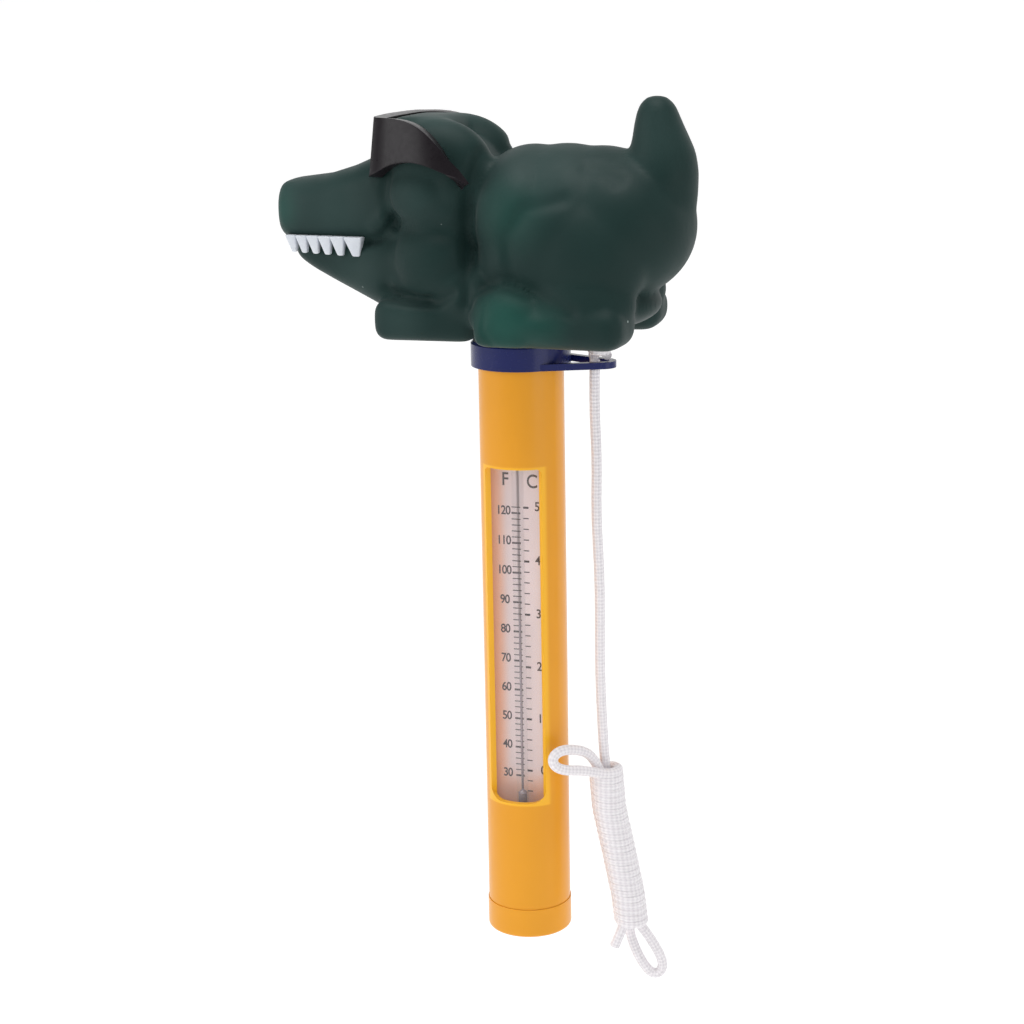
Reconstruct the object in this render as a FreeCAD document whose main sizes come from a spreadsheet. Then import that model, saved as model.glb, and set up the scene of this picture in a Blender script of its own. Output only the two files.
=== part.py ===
"""Floating pool thermometer: a yellow stem with a scale window under a hollow crocodile float.

Frame: +Z up along the stem, +X towards the crocodile's tail, -Y the side the window faces.
The origin is on the stem's axis at the waterline. Millimetres throughout.
"""
import FreeCAD, Part
import math
import os

import Sketcher

V = FreeCAD.Vector
doc = FreeCAD.newDocument("pool_thermometer")
sheet = doc.addObject("Spreadsheet::Sheet", "Sizes")
made = []          # every sub-part, in the order it is written


# ---------------------------------------------------------------- driving sizes
SIZES = {
    # heights along the stem, from the waterline
    "ring_bottom": -14.5, "ring_height": 6.4, "seam": -160.4, "foot": -168.4,
    "window_top": -40.1, "window_bottom": -130.4, "flange_top": -6.25, "flange_height": 1.75,
    "spigot_top": 12, "plug_end": -27, "cushion_top": -29.5, "cushion_bottom": -34.0,
    "card_top": -34.4, "seat_top": -137, "seat_bottom": -141, "ballast_top": -141.3,
    "ballast_height": 7.6, "bulb_top": -128.5, "spirit_level": -81.4,
    # stem
    "stem_radius": 11, "stem_wall": 1.6, "window_half_angle": 43.6, "window_corner": 3.6,
    "window_top_corner": 1.2, "fit_gap": 0.05, "spigot_radius": 7, "spigot_bore": 4.6,
    "neck_radius": 9.04, "plug_wall": 2.2,
    # clear liner, card and thermometer glass
    "liner_outer": 9.3, "liner_inner": 8.5, "card_front": -2.95, "card_thickness": 0.7,
    "card_half_width": 7.9, "glass_radius": 1.6, "glass_axis_y": -4.6, "capillary_radius": 0.35,
    "spirit_radius": 0.3, "bulb_radius": 1.15, "meniscus_height": 1.2,
    # seals and foot cap
    "seal_section": 0.7, "seal_centre": 8.62, "cap_radius": 11.22, "cap_edge": 0.9,
    "cap_insert": 8, "cap_wall": 1.6, "ballast_radius": 8.9,
    # collar and its cord ear
    "collar_radius": 12.82, "collar_bore": 9.1, "ear_end": 25.2, "ear_tip_radius": 3.7,
    "ear_bar": 1.75, "ear_height": 1.7, "ear_root_angle": 40,
    # float
    "socket_radius": 7.06, "socket_wall": 2.4, "float_seat": -6.2,
    # cord
    "cord_diameter": 2.7, "knot_radius": 3.35, "knot_x": 20.9, "knot_height": 4.1,
    "hank_half_width": 4.3, "hank_half_depth": 5.3,
}


def write_cells(values, first_row):
    """Put each value in the sheet as plain text and give its cell an alias."""
    for row, (name, value) in enumerate(values.items(), start=first_row):
        sheet.set(f"A{row}", name)
        sheet.set(f"B{row}", repr(value))
        sheet.setAlias(f"B{row}", name)
    doc.recompute()


# Stations of the float's trunk and head, nose to rump: place along X, underside, top,
# half width, and how square the section is (2 is an ellipse).
TRUNK = [
    ("nose", -65.6, 20.6, 29.4, 5.2, 2.4),
    ("nostril", -63.4, 18.4, 32.2, 8.6, 3.0),
    ("snout", -52.0, 18.2, 33.0, 10.6, 3.2),
    ("muzzle", -40.0, 17.6, 34.6, 12.4, 2.9),
    ("brow", -31.0, 3.6, 40.6, 15.2, 2.6),
    ("skull", -19.0, 0.0, 43.4, 17.4, 2.4),
    ("nape", -7.0, -2.0, 39.2, 16.6, 2.2),
    ("shoulder", 4.0, -5.6, 40.2, 19.4, 2.2),
    ("back", 15.0, -5.8, 41.4, 21.0, 2.2),
    ("rump", 27.0, -5.4, 40.6, 19.0, 2.2),
    ("hip", 37.0, -3.2, 40.0, 13.4, 2.2),
    ("root", 43.6, 4.0, 38.0, 7.6, 2.2),
    ("end", 46.4, 12.0, 30.0, 2.8, 2.0),
]
# Stations of the lower jaw, tip to throat, in the same form.
JAW = [
    ("jaw_tip", -61.6, 11.6, 13.6, 4.4, 2.2),
    ("jaw_front", -57.0, 9.0, 14.2, 7.4, 2.4),
    ("jaw_mid", -47.0, 4.8, 15.0, 10.0, 2.4),
    ("jaw_back", -36.0, 1.0, 17.0, 12.6, 2.4),
    ("jaw_root", -27.0, -0.8, 22.0, 13.4, 2.2),
]
# Rounded forms on both sides of the float: centre x, y, z and half sizes along X, Y, Z.
PAIRED = [
    ("ridge", -21.0, 9.6, 40.0, 10.8, 5.6, 8.7),
    ("eyeball", -19.5, 12.4, 27.6, 10.4, 6.4, 7.2),
    ("jowl", -18.0, 11.6, 11.4, 10.0, 7.6, 9.2),
    ("thigh", 16.6, 15.6, 15.6, 13.0, 9.6, 15.4),
    ("foreleg", -9.0, 14.6, 5.0, 9.0, 7.0, 9.6),
    ("forepaw", -22.4, 16.4, -0.4, 12.0, 5.6, 5.0),
    ("hindpaw", 14.0, 19.6, 0.2, 18.2, 6.6, 6.6),
]
# The tail's curl: centre x and z and half sizes along X, Y, Z.
TAIL = [
    ("tail_curl", 38.2, 37.0, 7.6, 6.6, 10.6),
    ("tail_tip", 35.6, 44.4, 5.4, 4.6, 8.3),
]
# Cavities of the hollow moulding, in the same form as the tail's but on the centre line.
CAVITIES = [
    ("trunk_cavity", 13.0, 17.5, 23.0, 15.0, 20.5),
    ("head_cavity", -20.0, 21.0, 9.4, 12.0, 17.0),
    ("snout_cavity", -46.0, 24.0, 15.0, 7.4, 6.4),
]
TEETH_PER_SIDE = 6
TOOTH = {"tooth_first": -61.0, "tooth_pitch": 4.3, "tooth_top": 20.4, "tooth_length": 5.6,
         "tooth_radius": 1.75, "tooth_out": 6.4, "tooth_spread": 0.55}
GLASSES = {"lens_front": -34.2, "temple_end": -8.4, "lens_top": 48.3, "lens_bottom": 32.9,
           "temple_top": 32.4, "temple_low": 29.6, "glasses_width": 17.6,
           "glasses_thickness": 2.2, "glasses_corner": 6.0}

rows_used = 1
write_cells(SIZES, rows_used)
rows_used += len(SIZES)
for table, fields in ((TRUNK + JAW, ("at", "low", "high", "wide", "square")),
                      (PAIRED, ("x", "y", "z", "long", "wide", "tall")),
                      (TAIL + CAVITIES, ("x", "z", "long", "wide", "tall"))):
    for line in table:
        write_cells({f"{line[0]}_{field}": value for field, value in zip(fields, line[1:])}, rows_used)
        rows_used += len(fields)
for group in (TOOTH, GLASSES):
    write_cells(group, rows_used)
    rows_used += len(group)


def size(name):
    return float(sheet.get(name))


# ---------------------------------------------------------------- small helpers
def keep(obj, label):
    """Name a finished sub-part; the label is its file's name."""
    obj.Label = label
    made.append(obj)
    return obj


def bind(obj, **expressions):
    for name, expression in expressions.items():
        obj.setExpression(name.replace("__", "."), expression)
    return obj


def origin_plane(body, role):
    return next(item for item in body.Origin.OriginFeatures if item.Role == role)


def outline_sketch(body, role, outline):
    """A closed outline of straight lines, each corner bound to two expressions.

    The outline is a list of corners, each a pair of expressions along the plane's two axes.
    """
    sketch = body.newObject("Sketcher::SketchObject", "outline")
    sketch.AttachmentSupport = (origin_plane(body, role), [""])
    sketch.MapMode = "FlatFace"
    places = [tuple(evaluate(sketch, part) for part in corner) for corner in outline]
    count = len(outline)
    for index in range(count):
        start = V(*places[index], 0)
        stop = V(*places[(index + 1) % count], 0)
        sketch.addGeometry(Part.LineSegment(start, stop), False)
    for index in range(count):
        sketch.addConstraint(Sketcher.Constraint("Coincident", index, 2, (index + 1) % count, 1))
    for index, corner in enumerate(outline):
        for kind, expression, value in zip(("DistanceX", "DistanceY"), corner, places[index]):
            number = sketch.addConstraint(Sketcher.Constraint(kind, -1, 1, index, 1, value))
            sketch.setExpression(f"Constraints[{number}]", expression)
    return sketch


def evaluate(obj, expression):
    value = obj.evalExpression(expression)
    return float(getattr(value, "Value", value))


def turned(label, outline, axis_y=None):
    """A piece of revolution about a vertical axis, from its (radius, height) outline."""
    body = doc.addObject("PartDesign::Body", label)
    outline = [tuple("Sizes." + part if part.isidentifier() else part for part in corner)
               for corner in outline]
    sketch = outline_sketch(body, "XZ_Plane", outline)
    turn = body.newObject("PartDesign::Revolution", "turn")
    turn.Profile = sketch
    turn.ReferenceAxis = (sketch, ["V_Axis"])
    turn.Angle = 360
    if axis_y:
        body.setExpression("Placement.Base.y", axis_y)
    doc.recompute()
    return body


def cylinder(name, radius, bottom, height, x="0", y="0", angle=None):
    obj = doc.addObject("Part::Cylinder", name)
    bind(obj, Radius=radius, Height=height, Placement__Base__x=x, Placement__Base__y=y,
         Placement__Base__z=bottom)
    if angle:
        bind(obj, Angle=angle)
    return obj


def cut(name, base, tool):
    obj = doc.addObject("Part::Cut", name)
    obj.Base = base
    obj.Tool = tool
    obj.Refine = False
    return obj


def common(name, first, second):
    obj = doc.addObject("Part::Common", name)
    obj.Base = first
    obj.Tool = second
    return obj


def fuse(name, pieces):
    obj = doc.addObject("Part::MultiFuse", name)
    obj.Shapes = pieces
    return obj


def fuse_in_turn(name, pieces):
    """Join organic forms one at a time, which is steadier than one fuse of them all."""
    whole = pieces[0]
    for number, piece in enumerate(pieces[1:], start=1):
        joined = doc.addObject("Part::Fuse", f"{name}_{number}")
        joined.Base = whole
        joined.Tool = piece
        joined.Refine = False
        whole = joined
    return whole


S = "Sizes."


# ---------------------------------------------------------------- stem
def stem_tube():
    """The yellow tube with its window, cut square to the wall along both sides."""
    height = "Sizes.ring_bottom - Sizes.fit_gap - Sizes.seam"
    outer = cylinder("tube_outside", S + "stem_radius", S + "seam", height)
    inner = cylinder("tube_inside", "Sizes.stem_radius - Sizes.stem_wall", "Sizes.seam - 1",
                     height + " + 2")
    tube = cut("tube_plain", outer, inner)
    wedge = cylinder("window_wedge", "Sizes.stem_radius + 4", "Sizes.window_bottom",
                     "Sizes.window_top - Sizes.window_bottom", angle="2 * Sizes.window_half_angle")
    wedge.Placement.Rotation = FreeCAD.Rotation(V(0, 0, 1), -90 - size("window_half_angle"))
    half = "Sizes.stem_radius * sin(Sizes.window_half_angle * 1 deg)"
    frame = doc.addObject("Part::Box", "window_frame")
    bind(frame, Length=f"2 * {half}", Width="Sizes.stem_radius + 6",
         Height="Sizes.window_top - Sizes.window_bottom", Placement__Base__x=f"-{half}",
         Placement__Base__y="-(Sizes.stem_radius + 6)", Placement__Base__z="Sizes.window_bottom")
    doc.recompute()
    rounded = doc.addObject("Part::Fillet", "window_corners")
    rounded.Base = frame
    edges = []
    for number, edge in enumerate(frame.Shape.Edges, start=1):
        first, last = (vertex.Point for vertex in edge.Vertexes)
        if abs(first.y - last.y) > 1:
            low = first.z < (size("window_top") + size("window_bottom")) / 2
            radius = size("window_corner") if low else size("window_top_corner")
            edges.append((number, radius, radius))
    rounded.Edges = edges
    cutter = common("window_cutter", wedge, rounded)
    return keep(cut("tube_windowed", tube, cutter), "stem_tube")


def top_plug():
    """Plug, collar neck, flange and float spigot in one moulding."""
    insert = "Sizes.stem_radius - Sizes.stem_wall - Sizes.fit_gap"
    shoulder = "Sizes.ring_bottom - Sizes.fit_gap"
    flange_low = "Sizes.flange_top - Sizes.flange_height"
    groove = "Sizes.seal_centre - Sizes.seal_section - 0.05"
    middle = "(Sizes.ring_bottom + Sizes.plug_end) / 2"
    outline = [
        ("spigot_bore", "plug_end"), (insert, "plug_end"),
        (insert, f"{middle} - Sizes.seal_section - 0.1"), (groove, f"{middle} - Sizes.seal_section - 0.1"),
        (groove, f"{middle} + Sizes.seal_section + 0.1"), (insert, f"{middle} + Sizes.seal_section + 0.1"),
        (insert, shoulder), ("neck_radius", shoulder), ("neck_radius", flange_low),
        ("stem_radius", flange_low), ("stem_radius", "flange_top"), ("spigot_radius", "flange_top"),
        ("spigot_radius", "Sizes.spigot_top - 1.2"), ("Sizes.spigot_radius - 1.2", "spigot_top"),
        ("0", "spigot_top"), ("0", "Sizes.spigot_top - Sizes.plug_wall"),
        ("spigot_bore", "Sizes.spigot_top - Sizes.plug_wall"),
    ]
    return keep(turned("plug", outline), "top_plug")


def ring_seal(label, height):
    seal = doc.addObject("Part::Torus", label + "_torus")
    bind(seal, Radius1=S + "seal_centre", Radius2=S + "seal_section", Placement__Base__z=height)
    return keep(seal, label)


def window_liner():
    low = "Sizes.seat_top + 0.1"
    tall = "Sizes.plug_end - 2 - Sizes.seat_top - 0.1"
    outer = cylinder("liner_outside", S + "liner_outer", low, tall)
    inner = cylinder("liner_inside", S + "liner_inner", low + " - 1", tall + " + 2")
    return keep(cut("liner_shell", outer, inner), "window_liner")


def scale_card():
    card = doc.addObject("Part::Box", "card_blank")
    bind(card, Length="2 * Sizes.card_half_width", Width=S + "card_thickness",
         Height="Sizes.card_top - Sizes.seat_top - 0.4", Placement__Base__x="-Sizes.card_half_width",
         Placement__Base__y=S + "card_front", Placement__Base__z="Sizes.seat_top + 0.2")
    return keep(card, "scale_card")


def thermometer_glass():
    """The glass stick: a bulb below, a fine bore above and an expansion space at its top."""
    low = "Sizes.seat_top + 0.3"
    high = "Sizes.cushion_bottom - 0.4"
    bulb = "Sizes.bulb_radius + 0.02"
    outline = [
        ("0", low), ("Sizes.glass_radius - 0.8", low), ("glass_radius", f"{low} + 0.8"),
        ("glass_radius", f"{high} - 0.8"), ("Sizes.glass_radius - 0.8", high), ("0", high),
        ("0", f"{high} - 1"), ("0.7", f"{high} - 1.8"), ("0.7", f"{high} - 3"),
        ("capillary_radius", f"{high} - 3.4"), ("capillary_radius", "bulb_top"),
        (bulb, "Sizes.bulb_top - 0.9"), (bulb, f"{low} + 1.3"), ("0.5", f"{low} + 0.7"),
        ("0", f"{low} + 0.7"),
    ]
    return keep(turned("glass", outline, S + "glass_axis_y"), "glass_tube")


def spirit():
    """The liquid: its bulb, the column in the bore, and the top of the column that climbs."""
    low = "Sizes.seat_top + 1.05"
    bulb = [("0", low), ("0.5", low), ("bulb_radius", f"{low} + 0.6"),
            ("bulb_radius", "Sizes.bulb_top - 0.95"), ("spirit_radius", "Sizes.bulb_top - 0.1"),
            ("0", "Sizes.bulb_top - 0.1")]
    keep(turned("bulb_fill", bulb, S + "glass_axis_y"), "spirit_bulb")
    column = cylinder("column", S + "spirit_radius", "Sizes.bulb_top - 0.1",
                      "Sizes.spirit_level - Sizes.bulb_top + 0.1 - Sizes.meniscus_height",
                      y=S + "glass_axis_y")
    keep(column, "spirit_column")
    top = cylinder("column_top", S + "spirit_radius", "Sizes.spirit_level - Sizes.meniscus_height",
                   S + "meniscus_height", y=S + "glass_axis_y")
    keep(top, "spirit_meniscus")


def cushions():
    """A foam disc above the card and glass, and the rubber seat that they stand on."""
    top = cylinder("cushion_disc", "Sizes.liner_inner - 0.1", S + "cushion_bottom",
                   "Sizes.cushion_top - Sizes.cushion_bottom")
    keep(top, "top_cushion")
    seat = cylinder("seat_disc", "Sizes.stem_radius - Sizes.stem_wall - 0.1", S + "seat_bottom",
                    "Sizes.seat_top - Sizes.seat_bottom")
    keep(seat, "glass_seat")


def ballast():
    slug = cylinder("slug", S + "ballast_radius", "Sizes.ballast_top - Sizes.ballast_height",
                    S + "ballast_height")
    doc.recompute()
    chamfered = doc.addObject("Part::Chamfer", "slug_edges")
    chamfered.Base = slug
    chamfered.Edges = [(number, 0.6, 0.6) for number, edge in enumerate(slug.Shape.Edges, start=1)
                       if len(edge.Vertexes) == 1]
    keep(chamfered, "ballast_weight")


def bottom_cap():
    """The cup that closes the stem: a hollow insert with a seal groove and a rounded foot."""
    insert = "Sizes.stem_radius - Sizes.stem_wall - Sizes.fit_gap"
    groove = "Sizes.seal_centre - Sizes.seal_section - 0.05"
    middle = "Sizes.seam + Sizes.cap_insert / 2"
    hollow = f"{groove} - Sizes.cap_wall + 0.4"
    seam = "Sizes.seam - 0.05"
    edge = 6
    outline = [("0", "foot"), ("Sizes.cap_radius - Sizes.cap_edge", "foot")]
    for step in range(1, edge + 1):
        angle = 90 * step / edge
        outline.append((f"Sizes.cap_radius - Sizes.cap_edge * (1 - sin({angle} * 1 deg))",
                        f"Sizes.foot + Sizes.cap_edge * (1 - cos({angle} * 1 deg))"))
    outline += [
        ("cap_radius", seam), (insert, seam), (insert, f"{middle} - Sizes.seal_section - 0.1"),
        (groove, f"{middle} - Sizes.seal_section - 0.1"),
        (groove, f"{middle} + Sizes.seal_section + 0.1"),
        (insert, f"{middle} + Sizes.seal_section + 0.1"), (insert, "Sizes.seam + Sizes.cap_insert"),
        (hollow, "Sizes.seam + Sizes.cap_insert"), (hollow, "Sizes.foot + Sizes.cap_wall"),
        ("0", "Sizes.foot + Sizes.cap_wall"),
    ]
    keep(turned("cap", outline), "bottom_cap")
    ring_seal("bottom_cap_seal", middle)


# ---------------------------------------------------------------- collar and ear
def collar_ring():
    """The blue swivel ring with a flat loop on one side, which the cord is tied to."""
    ring = turned("ring", [("collar_bore", "ring_bottom"), ("collar_radius", "ring_bottom"),
                           ("collar_radius", "Sizes.ring_bottom + Sizes.ring_height - 0.6"),
                           ("Sizes.collar_radius - 0.6", "Sizes.ring_bottom + Sizes.ring_height"),
                           ("collar_bore", "Sizes.ring_bottom + Sizes.ring_height")])
    loop = doc.addObject("Part::Feature", "ear_loop")
    loop.Shape = ear_shape()
    loop.Placement = FreeCAD.Placement(V(0, 0, size("ring_bottom")), FreeCAD.Rotation())
    whole = fuse("ring_and_ear", [ring, loop])
    whole.Refine = True
    keep(whole, "collar_ring")


def ear_outline(offset):
    """Two straight bars from the ring to a round end; offset moves the outline inwards."""
    tip = size("ear_tip_radius") - offset
    centre = size("ear_end") - size("ear_tip_radius")
    angle = math.radians(size("ear_root_angle"))
    radius = size("collar_radius")
    root = V(radius * math.sin(angle), -radius * math.cos(angle), 0)
    reach = V(centre, 0, 0) - root
    outer_tip = size("ear_tip_radius")
    slope = math.atan2(reach.y, reach.x) - math.asin(outer_tip / reach.Length)
    normal = V(math.sin(slope), -math.cos(slope), 0)
    touch = V(centre, 0, 0) + normal * tip
    along = V(math.cos(slope), math.sin(slope), 0)
    start = root - normal * offset
    start = start - along * ((start.x - 5.5) / along.x if offset else 0)
    mirror = [V(point.x, -point.y, 0) for point in (start, touch)]
    edges = [Part.LineSegment(start, touch),
             Part.Arc(touch, V(centre + tip, 0, 0), mirror[1]),
             Part.LineSegment(mirror[1], mirror[0]),
             Part.LineSegment(mirror[0], start)]
    return Part.Face(Part.Wire([edge.toShape() for edge in edges]))


def ear_shape():
    depth = V(0, 0, size("ear_height"))
    outer = ear_outline(0).extrude(depth)
    inner = ear_outline(size("ear_bar")).extrude(depth)
    return outer.cut(inner)


# ---------------------------------------------------------------- float
def closed_section(place, across, half_wide, low, high, square):
    """One closed cross-section in a plane across X: an ellipse, squared up as asked."""
    power = 2 / square
    middle = (low + high) / 2
    points = []
    for step in range(16):
        angle = 2 * math.pi * step / 16
        side = math.copysign(abs(math.cos(angle)) ** power, math.cos(angle))
        up = math.copysign(abs(math.sin(angle)) ** power, math.sin(angle))
        points.append(V(place, across + half_wide * side, middle + (high - low) / 2 * up))
    curve = Part.BSplineCurve()
    curve.interpolate(Points=points, PeriodicFlag=True)
    return Part.Wire(curve.toShape())


def lofted(name, sections):
    obj = doc.addObject("Part::Feature", name)
    obj.Shape = Part.makeLoft(sections, True, False)
    return obj


def stations(table):
    """Sections of the trunk or the jaw, read from the sheet."""
    return [closed_section(size(f"{line[0]}_at"), 0, size(f"{line[0]}_wide"), size(f"{line[0]}_low"),
                           size(f"{line[0]}_high"), size(f"{line[0]}_square")) for line in table]


def rounded_form(name, label, side):
    """An egg-like form, drawn through sections along X; side is -1, 0 or 1 across Y."""
    long, wide, tall = (size(f"{name}_{field}") for field in ("long", "wide", "tall"))
    across = side * size(f"{name}_y") if side else 0
    middle = size(f"{name}_z")
    sections = []
    for share in (-0.98, -0.75, 0.0, 0.75, 0.98):
        narrow = math.sqrt(1 - share ** 2)
        sections.append(closed_section(size(f"{name}_x") + share * long, across, wide * narrow,
                                       middle - tall * narrow, middle + tall * narrow, 2))
    return lofted(label, sections)


def side_forms():
    return [rounded_form(line[0], f"{line[0]}_{word}", side)
            for line in PAIRED for word, side in (("left", -1), ("right", 1))]


def centre_forms(table):
    return [rounded_form(line[0], line[0] + "_form", 0) for line in table]


def sunglasses():
    """A wrap-around visor: deep at the front, tapering to the temples."""
    body = doc.addObject("PartDesign::Body", "visor")
    outline = [(S + "lens_front", S + "lens_bottom"), ("Sizes.lens_front + 9", "Sizes.temple_low + 2.6"),
               (S + "temple_end", S + "temple_low"), (S + "temple_end", S + "temple_top"),
               ("Sizes.lens_front + 1.6", S + "lens_top"), (S + "lens_front", "Sizes.lens_top - 1.6")]
    sketch = outline_sketch(body, "XZ_Plane", outline)
    pad = body.newObject("PartDesign::Pad", "depth")
    pad.Profile = sketch
    pad.Midplane = True
    pad.setExpression("Length", "2 * Sizes.glasses_width")
    inner = doc.addObject("Part::Box", "visor_inside")
    thick = "Sizes.glasses_thickness"
    bind(inner, Length="60", Width=f"2 * (Sizes.glasses_width - {thick})", Height="60",
         Placement__Base__x=f"Sizes.lens_front + {thick}",
         Placement__Base__y=f"-(Sizes.glasses_width - {thick})", Placement__Base__z="10")
    doc.recompute()
    return keep(cut("visor_shell", body, inner), "sunglasses")


def teeth():
    """Six pointed teeth down each side of the upper jaw."""
    cones = []
    for number in range(TEETH_PER_SIDE):
        for side, sign in (("left", "-"), ("right", "")):
            cone = doc.addObject("Part::Cone", f"tooth_{side}_{number + 1}")
            bind(cone, Radius1="0.25", Radius2=S + "tooth_radius", Height=S + "tooth_length",
                 Placement__Base__x=f"Sizes.tooth_first + {number} * Sizes.tooth_pitch",
                 Placement__Base__y=f"{sign}(Sizes.tooth_out + {number} * Sizes.tooth_spread)",
                 Placement__Base__z="Sizes.tooth_top - Sizes.tooth_length")
            cones.append(cone)
    whole = doc.addObject("Part::Compound", "tooth_rows")
    whole.Links = cones
    return keep(whole, "upper_teeth")


def float_body():
    """The hollow vinyl crocodile, with the socket that the stem's spigot enters."""
    shell = fuse_in_turn("float_outside", [lofted("trunk_loft", stations(TRUNK)), lofted("jaw_loft", stations(JAW))]
                         + side_forms() + centre_forms(TAIL))
    boss = cylinder("socket_boss", "Sizes.socket_radius + Sizes.socket_wall", "Sizes.float_seat - 9",
                    "Sizes.spigot_top - Sizes.float_seat + 11.4")
    trunk_cavity, *others = centre_forms(CAVITIES)
    for cavity in [cut("cavity_round_boss", trunk_cavity, boss)] + others:
        shell = cut("float_less_" + cavity.Name, shell, cavity)
    bore = cylinder("socket_bore", S + "socket_radius", "Sizes.float_seat - 6",
                    "Sizes.spigot_top - Sizes.float_seat + 6.1")
    return keep(cut("float_finished", shell, bore), "float_body")


# ---------------------------------------------------------------- cord
DROP = [(19.7, 0, -12.7), (19.35, 0, -23.5), (20.05, 0, -38.5), (19.65, 0, -52.5), (20.6, 0, -72.0),
        (20.3, 0, -92.0), (20.8, 0, -109.0), (21.5, 0, -120.5)]
TOP_BIGHT = [(20.3, -2.6, -120.6), (18.3, -4.4, -116.6), (15.0, -7.4, -114.9), (12.1, -9.9, -114.7),
             (10.4, -11.3, -116.4), (11.0, -11.3, -118.8), (13.6, -9.9, -120.1), (16.9, -7.9, -120.4),
             (20.2, -5.2, -121.6)]
BOTTOM_BIGHT = [(27.6, 0, -167.0), (29.6, 0.3, -173.3), (31.7, 0.8, -177.5), (33.7, 1.4, -180.1),
                (35.9, 2.1, -180.0), (36.8, 2.4, -177.3), (35.3, 2.0, -173.3), (31.9, 1.0, -167.4)]
FREE_END = [(27.3, -3.6, -164.6), (26.3, -4.7, -167.6), (25.2, -4.8, -170.4)]
HANK = [(21.6, 0, -120.5), (22.6, 0, -133.0), (25.3, 0, -145.5), (27.6, 0, -156.8), (29.1, 0, -169.0)]


def rounded_path(points):
    """Straight runs joined by tangent arcs, each as large as its two runs allow."""
    corners = [V(*point) for point in points]
    edges = []
    radii = []
    last = corners[0]
    for before, corner, after in zip(corners, corners[1:], corners[2:]):
        run_in = corner - before
        run_out = after - corner
        direction_in = run_in.normalize()
        direction_out = run_out.normalize()
        turn = direction_in.getAngle(direction_out)
        setback = 0.45 * min((corner - before).Length, (after - corner).Length)
        radii.append(round(setback / math.tan(turn / 2), 1))
        start = corner - direction_in * setback
        stop = corner + direction_out * setback
        bisector = (direction_out - direction_in).normalize()
        middle = corner + bisector * arc_inset(setback, turn)
        edges.append(Part.LineSegment(last, start).toShape())
        edges.append(Part.Arc(start, middle, stop).toShape())
        last = stop
    edges.append(Part.LineSegment(last, corners[-1]).toShape())
    return Part.Wire(edges), radii


def arc_inset(setback, turn):
    """How far a tangent arc's middle lies inside its corner."""
    radius = setback / math.tan(turn / 2)
    return radius * (1 / math.cos(turn / 2) - 1)


def cord_tube(label, points):
    """A plain round tube along one stretch of the cord."""
    path, radii = rounded_path(points)
    radius = size("cord_diameter") / 2
    start = V(*points[0])
    ring = Part.Wire(Part.makeCircle(radius, start, V(*points[1]) - start))
    tube = path.makePipeShell([ring], True, True)
    ratio = tube.Volume / (math.pi * radius ** 2 * path.Length)
    print(f"{label}: length {path.Length:.1f}, radii {radii}, volume ratio {ratio:.4f}")
    obj = doc.addObject("Part::Feature", label + "_tube")
    obj.Shape = tube
    return keep(obj, label)


def cord_hank():
    """The outer shape of the wrapped hank: an oval column that leans as it hangs."""
    rings = []
    for x, y, z in HANK:
        oval = Part.Ellipse(V(0, 0, 0), size("hank_half_depth"), size("hank_half_width")).toShape()
        wire = Part.Wire(oval)
        wire.Placement = FreeCAD.Placement(V(x, y, z), FreeCAD.Rotation(V(0, 0, 1), 90))
        rings.append(wire)
    obj = doc.addObject("Part::Feature", "hank_column")
    obj.Shape = Part.makeLoft(rings, True, False)
    return keep(obj, "cord_hank")


def cord_knot():
    """The stopper knot that rests on the ear."""
    low = "Sizes.ring_bottom + Sizes.ear_height + 0.1"
    outline = [("0", low), ("Sizes.knot_radius - 0.8", low),
               ("knot_radius", f"{low} + 0.28 * Sizes.knot_height"),
               ("knot_radius", f"{low} + 0.62 * Sizes.knot_height"),
               ("Sizes.knot_radius - 1.3", f"{low} + Sizes.knot_height"),
               ("0", f"{low} + Sizes.knot_height")]
    knot = turned("knot", outline)
    knot.setExpression("Placement.Base.x", "Sizes.knot_x")
    doc.recompute()
    return keep(knot, "cord_knot")


# ---------------------------------------------------------------- the whole model
stem_tube()
top_plug()
ring_seal("top_plug_seal", "(Sizes.ring_bottom + Sizes.plug_end) / 2")
window_liner()
scale_card()
thermometer_glass()
spirit()
cushions()
ballast()
bottom_cap()
collar_ring()
sunglasses()
teeth()
float_body()
cord_knot()
cord_tube("cord_drop", DROP)
cord_tube("cord_top_bight", TOP_BIGHT)
cord_tube("cord_bottom_bight", BOTTOM_BIGHT)
cord_tube("cord_free_end", FREE_END)
cord_hank()
doc.recompute()

faults = [obj.Name for obj in doc.Objects if "Invalid" in obj.State or "Error" in obj.State]
if faults:
    raise RuntimeError(f"failed objects: {faults}")
for obj in made:
    if obj.Shape.isNull() or not obj.Shape.isValid() or not obj.Shape.Solids:
        raise RuntimeError(f"bad shape: {obj.Label}")

os.makedirs("parts", exist_ok=True)
for obj in made:
    obj.Shape.exportStep(f"parts/{obj.Label}.step")
    box = obj.Shape.optimalBoundingBox(False)
    print(f"{obj.Label:20s} solids {len(obj.Shape.Solids):2d} volume {obj.Shape.Volume:10.1f} "
          f"x {box.XMin:7.2f} {box.XMax:7.2f} y {box.YMin:7.2f} {box.YMax:7.2f} "
          f"z {box.ZMin:8.2f} {box.ZMax:8.2f}")
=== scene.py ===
import bmesh
import bpy
import math
from mathutils import Matrix, Vector


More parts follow.
